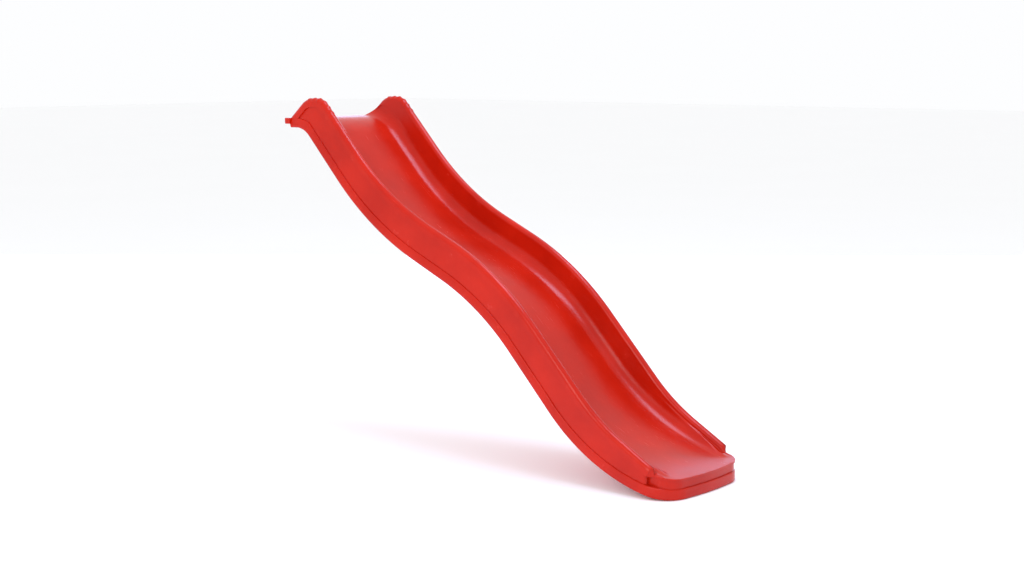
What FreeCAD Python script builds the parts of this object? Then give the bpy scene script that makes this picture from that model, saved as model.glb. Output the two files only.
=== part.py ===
"""Wave slide: a double-walled plastic slide that hangs on the edge of a play deck.

Millimetres and degrees.  While it is built, X runs down the slide from the back edge
of the deck flange, Y runs across it and Z is up from the ground.  The finished pieces
are moved so that the origin lies on the ground under the middle of the slide.
"""

import FreeCAD, Part
import math
import os

V = FreeCAD.Vector

# --- driving dimensions -------------------------------------------------------------
deck_height = 1200.0        # top of the deck that the flange rests on
flange_thickness = 23.0     # deck flange, top to underside
rim_pitch = 432.0           # across the slide, from rim centre to rim centre
wall_height = 106.0         # rim top above the sliding bed
body_depth = 46.0           # sliding bed down to the bottom edge
skin = 5.0                  # wall of both mouldings
fit_gap = 0.3               # clearance between the two mouldings

# --- the wave: three slopes, joined by arcs ----------------------------------------
crest_run = 130.0           # flange back edge to the corner of the crest
upper_angle = 46.4
middle_angle = 23.6
lower_angle = 46.3
exit_angle = 9.0
crest_radius = 200.0
hollow_radius = 1185.0      # upper slope easing into the middle one
hump_radius = 1050.0        # middle slope falling into the lower one
exit_radius = 890.0
middle_straight = 154.0
upper_share = 0.53          # the upper slope's share of the two steep straights
exit_straight = 62.0
lip_height = 70.0           # top of the lip's front edge above the ground

# --- rims and ears ------------------------------------------------------------------
rim_width = 33.0
rim_drop = 34.0             # depth of the rolled rim's two legs
rim_rounding = 0.999        # share of the rim's half width taken by its round shoulders
rim_tuck = 14.0             # side wall's top edge below the rim line
wall_draft = 3.0            # lean of the inner walls
wall_bury = 8.3             # inner wall's top edge below the rim line, inside the rim
shoulder_reach = 120.0
floor_fillet = 50.0
ear_foot = 27.0             # where an ear leaves the flange, from the back edge
ear_foot_rise = 4.1         # rim line above the flange at that place
ear_height = 78.0           # ear top above the flange
ear_rise_angle = 40.0
ear_front_radius = 90.0
ear_back_radius = 70.0
ear_embed = 17.0            # start of the rim inside the flange
rim_end_setback = 89.0      # lip's front edge back to the rims' ends
rim_end_rise = 38.0         # rim end above the lip's front edge
rim_end_angle = 29.5
rim_end_radius = 750.0
grip_count = 6
grip_pitch = 28.0
grip_radius = 3.7
grip_proud = 2.5
grip_leg = 14.0

# --- deck flange --------------------------------------------------------------------
flange_proud = 7.5          # flange past the rim's outer face, each side
ledge = 30.0                # flange overhang that rests on the deck
flange_reach = 60.0         # past this the chute is clear of everything under the flange
flange_corner = 12.0
beak_depth = 37.0           # flange top down to the bottom edge at the deck
beak_radius = 100.0
deck_hole_spacing = 300.0
deck_hole_inset = 16.0      # hole centres from the flange's back edge
sleeve_bore = 9.0
sleeve_outer = 14.0
sleeve_pad = 25.0
sleeve_gap = 0.1

# --- exit lip and foot --------------------------------------------------------------
foot_trim = 3.0             # how far the flat foot is cut into the bottom curve
foot_radius = 780.0
band_height = 38.0          # raised band round the bottom edge
band_corner = 8.0
band_proud = 5.0            # band and rim stand out this far from the side wall
width_share = rim_pitch / 432.0     # the lip's round plan grows with the width
lip_corner = 110.0 * width_share
lip_bow = 14.0
lip_bow_radius = 1100.0 * width_share
tongue_inset = 22.5         # tongue's side behind the band's face
tongue_corner = 70.0 * width_share
tongue_setback = 6.0
lip_overhang = 4.0
lip_plate = 7.0
wall_end_radius = 9.0
lip_reach = 60.0            # the lip's round plan takes over this far behind the walls' ends
lip_zone_reach = 50.0

# --- how the two mouldings are held together ----------------------------------------
tower_offset = 110.0 * width_share  # screw towers each side of the centre line
tower_height = 24.0
tower_base = 25.0
tower_top = 14.0
tower_wall = 4.0
cap_radius = 20.0
cap_thickness = 3.0
cap_gap = 0.15
cap_ledge = 2.5
skirt_taper = 1.0
skirt_wall = 3.0
boss_radius = 9.0
screw_radius = 2.5
screw_gap = 0.05
screw_hole = 3.0
screw_grip = 13.0           # thread inside the boss
pilot_spare = 1.0           # pilot hole past the screw's tip
head_radius = 5.5
head_height = 4.0
drive_radius = 2.0
drive_depth = 2.0
washer_radius = 8.0
washer_thickness = 1.5
tower_stations = 5
tower_first = 260.0         # along the bed from the flange's back edge
tower_pitch = 330.0
kiss_offset = 60.0 * width_share
kiss_base = 26.0
kiss_top = 14.0
drain_radius = 4.0
drain_setback = 70.0
drain_top = 20.0

deck_top = deck_height + flange_thickness
rim_half = rim_pitch / 2
rim_radius = rim_width / 2
rim_inside = rim_half - rim_radius
rim_outside = rim_half + rim_radius
side_face = rim_outside - band_proud - fit_gap
tongue_half = rim_outside - tongue_inset
flange_half = rim_outside + flange_proud
bottom_start = deck_top - beak_depth
tower_seat = tower_height - tower_wall - body_depth   # washer's seat above the bed, so below zero
far = 400.0                 # past anything on the slide


# --- plane geometry -----------------------------------------------------------------
def downhill(angle):
    return (math.cos(math.radians(angle)), -math.sin(math.radians(angle)))


def along(point, angle, length):
    step = downhill(angle)
    return (point[0] + step[0] * length, point[1] + step[1] * length)


def above(point, angle, height):
    step = downhill(angle)
    return (point[0] - step[1] * height, point[1] + step[0] * height)


def meet(p, p_angle, q, q_angle):
    """Where two lines cross, each given by a point and its downhill angle."""
    a = downhill(p_angle)
    b = downhill(q_angle)
    cross = a[0] * b[1] - a[1] * b[0]
    t = ((q[0] - p[0]) * b[1] - (q[1] - p[1]) * b[0]) / cross
    return (p[0] + a[0] * t, p[1] + a[1] * t)


def slope_of(p, q):
    return math.degrees(math.atan2(p[1] - q[1], q[0] - p[0]))


def tangent_length(radius, angle_before, angle_after):
    return radius * math.tan(math.radians(abs(angle_after - angle_before)) / 2)


def shifted(path, height):
    """A path moved sideways by height, to the left of its run; its arcs stay concentric."""
    corners, radii = path
    slopes = [slope_of(a, b) for a, b in zip(corners, corners[1:])]
    moved = [above(corners[0], slopes[0], height)]
    for i in range(1, len(corners) - 1):
        before = above(corners[i], slopes[i - 1], height)
        after = above(corners[i], slopes[i], height)
        moved.append(meet(before, slopes[i - 1], after, slopes[i]))
    moved.append(above(corners[-1], slopes[-1], height))
    turned = []
    for i, radius in enumerate(radii):
        turn = (slopes[i] - slopes[i + 1] + 180) % 360 - 180
        turned.append(max(radius - math.copysign(1, turn) * height, 0) if radius else 0)
    return moved, turned


def reversed_path(path):
    return path[0][::-1], path[1][::-1]


def edges_of(path, place):
    """The straight runs and tangent arcs of a path, put into space by place(u, v)."""
    corners, radii = path
    edges = []
    start = corners[0]
    for i, radius in enumerate(radii):
        corner = corners[i + 1]
        before = slope_of(corners[i], corner)
        after = slope_of(corner, corners[i + 2])
        turn = (before - after + 180) % 360 - 180
        cut = radius * math.tan(math.radians(abs(turn)) / 2)
        first = along(corner, before, -cut)
        last = along(corner, after, cut)
        if math.dist(start, first) > 1e-6:
            edges.append(Part.LineSegment(place(*start), place(*first)).toShape())
        if radius:
            centre = above(first, before, math.copysign(radius, turn))
            middle = above(centre, before - turn / 2, -math.copysign(radius, turn))
            edges.append(Part.Arc(place(*first), place(*middle), place(*last)).toShape())
        start = last
    if math.dist(start, corners[-1]) > 1e-6:
        edges.append(Part.LineSegment(place(*start), place(*corners[-1])).toShape())
    return edges


def outline(paths, place):
    """A closed wire through the paths in turn, with straight lines between them."""
    edges = []
    for i, path in enumerate(paths):
        edges += edges_of(path, place)
        following = paths[(i + 1) % len(paths)][0][0]
        if math.dist(path[0][-1], following) > 1e-6:
            edges.append(Part.LineSegment(place(*path[0][-1]), place(*following)).toShape())
    return Part.Wire(edges)


def side_prism(paths, low=-far, high=far):
    """A side outline given width, from Y = low to Y = high."""
    wire = outline(paths, lambda x, z: V(x, low, z))
    return Part.Face(wire).extrude(V(0, high - low, 0))


def plan_prism(paths, low, high):
    """A plan outline given height, from Z = low to Z = high."""
    wire = outline(paths, lambda x, y: V(x, y, low))
    return Part.Face(wire).extrude(V(0, 0, high - low))


def over(path, low=-far, high=far):
    """Everything above a path."""
    top = deck_top + far
    lid = ([(path[0][-1][0], top), (path[0][0][0], top)], [])
    return side_prism([path, lid], low, high)


def under(path, low=-far, high=far):
    """Everything below a path."""
    floor = ([(path[0][-1][0], -far), (path[0][0][0], -far)], [])
    return side_prism([path, floor], low, high)


def block(x0, x1, half_width, z0, z1):
    return Part.makeBox(x1 - x0, 2 * half_width, z1 - z0, V(x0, -half_width, z0))


def swept(path, section):
    """A closed section carried along a path: drawn out on the straights, turned on the arcs."""
    pieces = []
    for edge in edges_of(path, lambda x, z: V(x, 0, z)):
        start = edge.firstVertex().Point
        heading = edge.tangentAt(edge.FirstParameter)
        angle = math.degrees(math.atan2(-heading.z, heading.x))

        def at_start(y, height):
            point = above((start.x, start.z), angle, height)
            return V(point[0], y, point[1])

        face = Part.Face(outline(section, at_start))
        if isinstance(edge.Curve, Part.Line):
            pieces.append(face.extrude(heading * edge.Length))
        else:
            centre = edge.Curve.Center
            upward = (centre - start).dot(V(-heading.z, 0, heading.x)) > 0
            turn = math.degrees(edge.Length / edge.Curve.Radius)
            pieces.append(face.revolve(centre, V(0, -1 if upward else 1, 0), turn))
    return joined(pieces) if len(pieces) > 1 else pieces[0]


def joined(shapes):
    return shapes[0].fuse(shapes[1:])


def both_sides(shape):
    return [shape, shape.mirror(V(0, 0, 0), V(0, 1, 0))]


# --- the slide's side lines ---------------------------------------------------------
def bed_path():
    """The sliding bed, from the flange's back edge to the lip's front edge."""
    crest_cut = tangent_length(crest_radius, 0, upper_angle)
    hollow_cut = tangent_length(hollow_radius, upper_angle, middle_angle)
    hump_cut = tangent_length(hump_radius, middle_angle, lower_angle)
    exit_cut = tangent_length(exit_radius, lower_angle, exit_angle)
    middle = hollow_cut + middle_straight + hump_cut
    last = exit_cut + exit_straight
    fixed_drop = (
        (crest_cut + hollow_cut) * math.sin(math.radians(upper_angle))
        + middle * math.sin(math.radians(middle_angle))
        + (hump_cut + exit_cut) * math.sin(math.radians(lower_angle))
        + last * math.sin(math.radians(exit_angle))
    )
    drop_per_straight = (
        upper_share * math.sin(math.radians(upper_angle))
        + (1 - upper_share) * math.sin(math.radians(lower_angle))
    )
    straights = (deck_top - lip_height - fixed_drop) / drop_per_straight
    upper = crest_cut + upper_share * straights + hollow_cut
    lower = hump_cut + (1 - upper_share) * straights + exit_cut
    corners = [(0.0, deck_top), (crest_run, deck_top)]
    corners.append(along(corners[-1], upper_angle, upper))
    corners.append(along(corners[-1], middle_angle, middle))
    corners.append(along(corners[-1], lower_angle, lower))
    corners.append(along(corners[-1], exit_angle, last))
    return corners, [crest_radius, hollow_radius, hump_radius, exit_radius]


bed = bed_path()
crest, hollow, hump, runout, lip = bed[0][1:]
total_length = lip[0]
bow_lean = math.atan(1.5 * lip_bow / rim_outside)
bow_cut = lip_bow_radius * (1 / math.cos(bow_lean) - 1)
lip_front = total_length - lip_bow / 2 + bow_cut    # the bowed front just reaches the full length
rim_end = (total_length - rim_end_setback, lip_height + rim_end_rise)


def slope_lines(height):
    """Corners between the three slopes, on lines that run height above the bed."""
    upper = above(hollow, upper_angle, height)
    middle = above(hollow, middle_angle, height)
    middle_end = above(hump, middle_angle, height)
    lower = above(hump, lower_angle, height)
    return (
        meet(upper, upper_angle, middle, middle_angle),
        meet(middle_end, middle_angle, lower, lower_angle),
    )


def rim_path():
    """The top of a rim: up the ear, over it, down the wave and out at the exit."""
    ear_top = deck_top + ear_height
    foot = (ear_foot, deck_top + ear_foot_rise)
    start = along(foot, -ear_rise_angle, -ear_embed)
    front = meet(foot, -ear_rise_angle, (0, ear_top), 0)
    hollow_rim, hump_rim = slope_lines(wall_height)
    back = meet((0, ear_top), 0, hollow_rim, upper_angle)
    turn = meet(hump_rim, lower_angle, rim_end, rim_end_angle)
    corners = [start, front, back, hollow_rim, hump_rim, turn, rim_end]
    radii = [
        ear_front_radius,
        ear_back_radius,
        hollow_radius - wall_height,
        hump_radius + wall_height,
        rim_end_radius,
    ]
    return corners, radii


def bottom_path():
    """The bottom edge, from the deck's edge to the lip's front edge."""
    hollow_low, hump_low = slope_lines(-body_depth)
    beak = meet((0, bottom_start), 0, hollow_low, upper_angle)
    foot = meet(hump_low, lower_angle, (0, -foot_trim), 0)
    end = (total_length, -foot_trim)
    reach = tangent_length(foot_radius, lower_angle, 0)
    end = (max(end[0], foot[0] + reach), end[1])
    corners = [(ledge, bottom_start), beak, hollow_low, hump_low, foot, end]
    radii = [
        beak_radius,
        hollow_radius + body_depth,
        hump_radius - body_depth,
        foot_radius,
    ]
    return corners, radii


rim = rim_path()
bottom = bottom_path()
rim_end_lean = rim_drop * math.sin(math.radians(rim_end_angle))
wall_end = rim_end[0] - rim_end_lean - skin - fit_gap
past_rim_end = along(rim_end, rim_end_angle, skin)
leg_line = shifted((rim[0][:-1] + [past_rim_end], rim[1]), -rim_drop - fit_gap)
leg_start = leg_line[0][0]
wall_top = shifted((rim[0] + [along(rim_end, exit_angle, far)], [*rim[1], 0]), -wall_bury)


def length_of(path):
    return sum(edge.Length for edge in edges_of(path, lambda x, z: V(x, 0, z)))


def set_on(shape, path, length, y):
    """A shape drawn about the origin, moved to a length along a path, Z along its normal."""
    for edge in edges_of(path, lambda x, z: V(x, 0, z)):
        if length <= edge.Length:
            at = edge.getParameterByLength(length)
            point = edge.valueAt(at)
            heading = edge.tangentAt(at)
            placed = shape.copy()
            placed.rotate(V(0, 0, 0), V(0, 1, 0), math.degrees(math.atan2(-heading.z, heading.x)))
            placed.translate(V(point.x, y, point.z))
            return placed
        length -= edge.Length
    raise ValueError("the place lies past the path's end")


def at_station(shape, length, y):
    return set_on(shape, bed, length, y)


# --- plan outlines of the lip -------------------------------------------------------
def lip_plan(half_width, corner_radius, front, back):
    """The lip from above: square at the back, round corners and a bowed front."""
    corners = [
        (back, half_width),
        (front - lip_bow, half_width),
        (front + lip_bow / 2, 0),
        (front - lip_bow, -half_width),
        (back, -half_width),
    ]
    return corners, [corner_radius, lip_bow_radius, corner_radius]


def tongue_plan():
    """The tongue and the rounded ends of the side walls."""
    front = lip_front - tongue_setback
    corners, radii = lip_plan(tongue_half, tongue_corner, front, wall_end)
    back = wall_end - 2 * wall_end_radius
    start = [(back, side_face), (wall_end, side_face)]
    end = [(wall_end, -side_face), (back, -side_face)]
    return start + corners + end, [wall_end_radius, 0, *radii, 0, wall_end_radius]


plate_front = lip_front - tongue_setback + lip_overhang
plate_plan = lip_plan(
    tongue_half + lip_overhang, tongue_corner + lip_overhang, plate_front, wall_end - skin
)
band_plan = lip_plan(rim_outside, lip_corner, lip_front, wall_end - lip_reach)
tongue = tongue_plan()


# --- upper moulding -----------------------------------------------------------------
def inside_section():
    """The sliding space across the slide: flat floor, round corners and drafted walls."""
    foot = rim_inside - wall_height * math.tan(math.radians(wall_draft))
    reach = wall_height + ear_height
    top = foot + reach * math.tan(math.radians(wall_draft))
    return [(-top, reach), (-foot, 0), (foot, 0), (top, reach)], [floor_fillet] * 2


def trough():
    """Bed and inner walls, taller than needed, before they are cut to the rim line."""
    inside = inside_section()
    sides = swept(bed, [inside, reversed_path(shifted(inside, -skin))])
    behind_ears = block(-far, ear_foot, far, deck_top, deck_top + far)
    past_rims = block(rim_end[0], total_length + far, far, -far, deck_top)
    past_lip = past_rims.cut(plan_prism([plate_plan], -far, deck_top))
    over_walls = over(wall_top).cut(block(0, flange_reach, far, 0, deck_top))
    return sides.cut([over_walls, behind_ears, over(bed).common(past_rims), past_lip])


def rim_shoulders():
    """Towards the exit the inner wall is low; this closes the step between it and its rim."""
    strip = side_prism([wall_top, reversed_path(shifted(wall_top, -skin))], 0, rim_inside + skin)
    zone = block(rim_end[0] - shoulder_reach, rim_end[0], far, 0, deck_height)
    return strip.common(zone).cut(swept(bed, [inside_section()]))


def rolled_rim():
    """One rolled rim: an upside-down channel along the rim line, closed at the lip."""
    shoulder = -rim_radius
    outer = ([(rim_inside, -rim_drop), (rim_inside, 0), (rim_outside, 0), (rim_outside, -rim_drop)],
             [rim_radius * rim_rounding] * 2)
    inner_radius = rim_radius - skin
    inner = ([(rim_inside + skin, -rim_drop), (rim_inside + skin, shoulder + inner_radius),
              (rim_outside - skin, shoulder + inner_radius), (rim_outside - skin, -rim_drop)],
             [inner_radius * rim_rounding] * 2)
    channel = swept(rim, [outer, reversed_path(inner)])
    cap_path = ([along(rim_end, rim_end_angle, -skin), rim_end], [])
    return [channel, swept(cap_path, [outer])]


def grip():
    """One finger rib: a hoop over the rim, with a short leg down each face."""
    reach = rim_radius + grip_proud - grip_radius
    centre = V(0, 0, -rim_radius)
    start = V(0, -reach, -rim_radius)
    disc = Part.Face(Part.Wire([Part.Circle(start, V(0, 0, 1), grip_radius).toShape()]))
    pieces = [disc.revolve(centre, V(-1, 0, 0), 180)]
    for y in (-reach, reach):
        foot = V(0, y, -rim_radius - grip_leg)
        pieces.append(Part.makeCylinder(grip_radius, grip_leg, foot))
        pieces.append(Part.makeSphere(grip_radius, foot))
    return joined(pieces)


def grips():
    """The finger ribs of one ear, evenly spaced about the middle of its top."""
    ear = (rim[0][:4], rim[1][:2])
    front = (rim[0][:3], rim[1][:1])
    middle = (length_of(front) + length_of(ear) - math.dist(rim[0][2], rim[0][3])) / 2
    first = middle - grip_pitch * (grip_count - 1) / 2
    return [set_on(grip(), rim, first + i * grip_pitch, rim_half) for i in range(grip_count)]


def flange():
    """The flange over the deck: a shallow box, open below, with pads for the sleeves."""
    half = flange_half
    back = ledge + skin
    plan = ([(back, half), (0, half), (0, -half), (back, -half)], [flange_corner] * 2)
    body = plan_prism([plan], deck_height, deck_top)
    pocket = block(skin, back + skin, rim_inside, deck_height - skin, deck_top - skin - fit_gap)
    body = body.cut(pocket)
    pad_height = flange_thickness - skin - fit_gap
    pads = [
        Part.makeCylinder(sleeve_pad / 2, pad_height, V(deck_hole_inset, y, deck_top - pad_height))
        .common(block(0, back, far, deck_height, deck_top))
        for y in (-deck_hole_spacing / 2, deck_hole_spacing / 2)
    ]
    return [body] + pads


def lip_top():
    """The plate over the tongue, which stands a little proud of it all round."""
    plate = side_prism([bed, reversed_path(shifted(bed, -lip_plate))])
    past_walls = block(wall_end + 2 * fit_gap, total_length, far, 0, deck_height)
    return plate.common(plan_prism([plate_plan], 0, deck_height)).common(past_walls)


def tower_places():
    for i in range(tower_stations):
        for y in (-tower_offset, tower_offset):
            yield tower_first + i * tower_pitch, y


def kiss_places():
    for i in range(tower_stations - 1):
        for y in (-kiss_offset, kiss_offset):
            yield tower_first + (i + 0.5) * tower_pitch, y


def boss():
    """A boss under the bed that takes one seam screw."""
    length = body_depth - tower_height - skin / 2 - fit_gap
    return Part.makeCylinder(boss_radius, length, V(0, 0, -skin / 2 - length))


def sleeve_bores(radius):
    return [
        Part.makeCylinder(radius, 2 * flange_thickness, V(deck_hole_inset, y, deck_height - skin))
        for y in (-deck_hole_spacing / 2, deck_hole_spacing / 2)
    ]


def chute_shell():
    rims = rolled_rim() + grips() + [rim_shoulders()]
    pieces = [trough(), lip_top()] + flange()
    for piece in rims:
        pieces += both_sides(piece)
    for length, y in tower_places():
        pieces.append(at_station(boss(), length, y))
    shell = joined(pieces)
    pilot_foot = V(0, 0, tower_height - body_depth)
    pilot = Part.makeCylinder(screw_radius + screw_gap, screw_grip + pilot_spare, pilot_foot)
    cuts = [at_station(pilot, length, y) for length, y in tower_places()]
    cuts.append(block(-far, ledge, far, 0, deck_height))
    cuts.append(block(-far, flange_reach, far, 0, bottom_start + skin + fit_gap))
    cuts += sleeve_bores(sleeve_outer / 2 + sleeve_gap)
    return shell.cut(cuts)


# --- lower moulding -----------------------------------------------------------------
def tray():
    """Underside and raised bottom band, carried along the bottom edge."""
    half = rim_outside
    inner = side_face - skin
    outside = ([(-inner, band_height), (-half, band_height), (-half, 0), (half, 0),
                (half, band_height), (inner, band_height)],
               [band_corner / 2, band_corner, band_corner, band_corner / 2])
    inside = shifted(outside, skin)
    inside[0][0] = (-inner, band_height - skin)
    inside[0][-1] = (inner, band_height - skin)
    body = swept(bottom, [outside, reversed_path(inside)])
    zone_start = wall_end - lip_zone_reach
    lip_zone = block(zone_start, total_length + far, far, -far, deck_height)
    corners = lip_zone.cut(plan_prism([band_plan], -far, deck_height))
    at_ears = block(0, leg_start[0] + fit_gap, far, leg_start[1], deck_top + far)
    under_rims = over(leg_line).fuse(at_ears)
    side_zone = block(0, zone_start, far, 0, deck_top + far).cut(
        block(0, zone_start, inner, 0, deck_top + far)
    )
    return body.cut([corners, under_rims.common(side_zone)])


def side_wall():
    """The flat side between the bottom band and the inside of the rolled rim."""
    floor = ([(rim_end[0], -far), (0, -far)], [])
    high = side_prism([shifted(rim, -rim_tuck), floor], side_face - skin, side_face)
    low = over(shifted(bottom, band_height - skin))
    zone = block(ledge + skin, wall_end - wall_end_radius, far, 0, deck_top + far)
    return high.common(low).common(zone)


def plan_ring(plan, low_path, high_path):
    """An upright wall on a plan outline, between two side lines."""
    ring = plan_prism([plan, reversed_path(shifted(plan, -skin))], -far, deck_height)
    return ring.common(over(low_path)).common(under(high_path))


def lip_walls():
    """Front of the lip: raised band, the ledge on top of it, and the tongue's wall."""
    band_top = shifted(bottom, band_height)
    ledge_low = shifted(bottom, band_height - skin)
    band = plan_ring(band_plan, bottom, band_top)
    floor = plan_prism([band_plan], -far, deck_height)
    inside = plan_prism([shifted(tongue, -skin)], -far, deck_height)
    step = floor.cut(inside).common(over(ledge_low)).common(under(band_top))
    step = step.common(block(wall_end - skin, total_length + far, far, -far, deck_height))
    lip_line = shifted(bed, -lip_plate - fit_gap)
    wall = plan_ring(tongue, ledge_low, lip_line)
    end_zone = block(wall_end - 3 * wall_end_radius, wall_end, far, 0, deck_height)
    end = plan_ring(tongue, ledge_low, shifted(rim, -rim_tuck)).common(end_zone)
    front_zone = block(wall_end, total_length, far, 0, deck_height)
    return [band, step, wall.common(front_zone).cut(over(leg_line)), end]


def deck_ledge():
    """The skin under the flange and the upright face that butts on the deck's edge."""
    reach = rim_inside - 2 * fit_gap
    seat = block(skin + fit_gap, ledge + skin, reach, deck_height, deck_height + skin)
    face = block(ledge, ledge + skin, reach, bottom_start, deck_height)
    foot = block(ledge, ledge + skin, side_face, bottom_start, leg_start[1] - fit_gap)
    return [seat, face, foot]


def tower():
    """A hollow tower in the underside; its top carries one screw into a boss."""
    base = -body_depth
    return Part.makeCone(tower_base, tower_top, tower_height, V(0, 0, base))


def tower_hollow():
    """What is cut out of a tower: cap seat, tapering recess and screw hole."""
    base = -body_depth
    seat = Part.makeCylinder(cap_radius, cap_thickness + skin, V(0, 0, base - skin))
    recess_height = tower_height - tower_wall - cap_thickness
    recess = Part.makeCone(
        cap_radius - cap_ledge, tower_top - tower_wall, recess_height, V(0, 0, base + cap_thickness)
    )
    hole = Part.makeCylinder(screw_hole, 2 * tower_wall, V(0, 0, tower_seat - tower_wall / 2))
    return joined([seat, recess, hole])


def kiss_cone(inset, rise):
    """A cone that props the bed from the underside."""
    height = body_depth - skin - fit_gap
    return Part.makeCone(kiss_base - inset, kiss_top - inset, height - rise, V(0, 0, -body_depth))


def kiss_hollow():
    """The inside of a kiss cone, open through the underside."""
    mouth = Part.makeCylinder(kiss_base - tower_wall, skin, V(0, 0, -body_depth - skin))
    return mouth.fuse(kiss_cone(tower_wall, tower_wall))


def under_shell():
    pieces = [tray()] + both_sides(side_wall()) + lip_walls() + deck_ledge()
    for length, y in tower_places():
        pieces.append(at_station(tower(), length, y))
    for length, y in kiss_places():
        pieces.append(at_station(kiss_cone(0, 0), length, y))
    shell = joined(pieces)
    cuts = [at_station(tower_hollow(), length, y) for length, y in tower_places()]
    for length, y in kiss_places():
        cuts.append(at_station(kiss_hollow(), length, y))
    cuts.append(block(0, total_length + far, far, -far, 0))
    cuts += sleeve_bores(sleeve_outer / 2 + sleeve_gap)
    for y in (-kiss_offset, kiss_offset):
        foot = V(total_length - drain_setback, y, drain_top - far)
        cuts.append(Part.makeCylinder(drain_radius, far, foot))
    return shell.cut(cuts)


# --- fasteners, caps and sleeves ----------------------------------------------------
def seam_screw():
    """A round-headed screw, driven up from inside its tower."""
    under_head = tower_seat - washer_thickness
    shank_length = washer_thickness + tower_wall + fit_gap + screw_grip
    shank = Part.makeCylinder(screw_radius, shank_length, V(0, 0, under_head))
    head = Part.makeCylinder(head_radius, head_height, V(0, 0, under_head - head_height))
    lower_edges = [e for e in head.Edges if e.BoundBox.ZMax < under_head - head_height / 2]
    head = head.makeFillet(head_height / 3, lower_edges)
    drive = Part.makeCylinder(drive_radius, drive_depth, V(0, 0, under_head - head_height))
    return shank.fuse(head).cut(drive)


def screw_washer():
    foot = V(0, 0, tower_seat - washer_thickness)
    disc = Part.makeCylinder(washer_radius, washer_thickness, foot)
    hole = Part.makeCylinder(screw_hole, washer_thickness, foot)
    return disc.cut(hole)


def screw_cap():
    disc = Part.makeCylinder(cap_radius - cap_gap, cap_thickness, V(0, 0, -body_depth))
    skirt_outer = cap_radius - cap_ledge - 4 * cap_gap
    foot = V(0, 0, cap_thickness - body_depth)
    skirt = Part.makeCone(skirt_outer, skirt_outer - skirt_taper, cap_thickness, foot)
    bore = Part.makeCylinder(skirt_outer - skirt_wall, cap_thickness, foot)
    return disc.fuse(skirt.cut(bore))


def group(shape):
    return Part.makeCompound([at_station(shape, length, y) for length, y in tower_places()])


def deck_sleeve(side):
    foot = V(deck_hole_inset, side * deck_hole_spacing / 2, deck_height)
    tube = Part.makeCylinder(sleeve_outer / 2, flange_thickness, foot)
    return tube.cut(Part.makeCylinder(sleeve_bore / 2, flange_thickness, foot))


nodes = {
    "chute_shell": chute_shell(),
    "under_shell": under_shell(),
    "seam_screws": group(seam_screw()),
    "screw_washers": group(screw_washer()),
    "screw_caps": group(screw_cap()),
    "left_deck_sleeve": deck_sleeve(1),
    "right_deck_sleeve": deck_sleeve(-1),
}

os.makedirs("parts", exist_ok=True)
for name, shape in nodes.items():
    shape.translate(V(-total_length / 2, 0, 0))
    shape.exportStep("parts/" + name + ".step")
    box = shape.BoundBox
    print(name, "valid", shape.isValid(), "solids", len(shape.Solids), "volume", round(shape.Volume / 1000, 1),
          "x", round(box.XMin, 1), round(box.XMax, 1), "y", round(box.YMin, 1), round(box.YMax, 1),
          "z", round(box.ZMin, 2), round(box.ZMax, 1))
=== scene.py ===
"""Wave slide: the finished look of a double-walled plastic slide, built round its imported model."""

import math

import bmesh
import bpy
from bpy.props import FloatProperty, FloatVectorProperty, IntProperty, PointerProperty
from mathutils import Matrix, Vector


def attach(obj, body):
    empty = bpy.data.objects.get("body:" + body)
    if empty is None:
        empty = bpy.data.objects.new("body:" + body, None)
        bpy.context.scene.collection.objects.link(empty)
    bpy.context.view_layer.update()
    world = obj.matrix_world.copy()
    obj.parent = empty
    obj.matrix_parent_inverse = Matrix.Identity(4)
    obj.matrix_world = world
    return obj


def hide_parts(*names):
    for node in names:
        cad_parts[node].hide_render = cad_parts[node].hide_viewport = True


bl_info = {
    "name": "Wave slide",
    "version": (1, 0, 0),
    "blender": (4, 5, 0),
    "location": "3D View > Sidebar > Wave slide",
    "description": "Builds the mouldings, finishes and stage of a deck-mounted wave slide",
    "category": "Add Mesh",
}

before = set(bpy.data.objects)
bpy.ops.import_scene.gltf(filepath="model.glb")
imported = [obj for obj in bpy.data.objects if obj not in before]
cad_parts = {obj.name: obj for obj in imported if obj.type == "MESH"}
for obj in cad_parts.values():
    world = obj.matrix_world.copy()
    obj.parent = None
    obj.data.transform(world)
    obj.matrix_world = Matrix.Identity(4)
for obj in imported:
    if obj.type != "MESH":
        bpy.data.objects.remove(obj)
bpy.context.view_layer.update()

# Side lines in metres: corners as (x, z), then the radius at each inner corner.
BED = (
    [(-0.9283, 1.223), (-0.7983, 1.223), (-0.44815, 0.8553), (0.10506, 0.61361),
     (0.57038, 0.12669), (0.9283, 0.07)],
    [0.2, 1.185, 1.05, 0.89],
)
BOTTOM = (
    [(-0.8983, 1.186), (-0.82658, 1.186), (-0.47506, 0.81687), (0.07819, 0.57516),
     (0.63068, -0.003), (0.96419, -0.003)],
    [0.1, 1.231, 1.004, 0.78],
)
RIM = (
    [(-0.91432, 1.21617), (-0.81323, 1.301), (-0.7262, 1.301), (-0.38612, 0.94388),
     (0.167, 0.70223), (0.61192, 0.23665), (0.8393, 0.108)],
    [0.09, 0.07, 1.079, 1.156, 0.75],
)
RIM_HALF = 0.216            # rim centre from the middle of the slide
FLOOR_HALF = 0.1465         # flat part of the bed
FLOOR_FILLET = 0.05
DRAFT = math.radians(3)
RIM_DROP = 0.034
SIDE_FACE = 0.2272
BAND_FACE = 0.2322          # a little inside the ears' outer legs
BAND_HEIGHT = 0.038
DECK_TOP = 1.223
DECK = 1.2
DECK_FOOT = 1.186           # underside of the moulding where it leaves the deck
FLANGE_BACK = -0.9283
FLANGE_FRONT = -0.8933
FLANGE_HALF = 0.24
DECK_FACE = -0.8983
WALL_END = 0.81726
LIP_FRONT = 0.92578
LIP_BOW = 0.014
TOWER_FIRST = 0.26
TOWER_PITCH = 0.33
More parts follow.
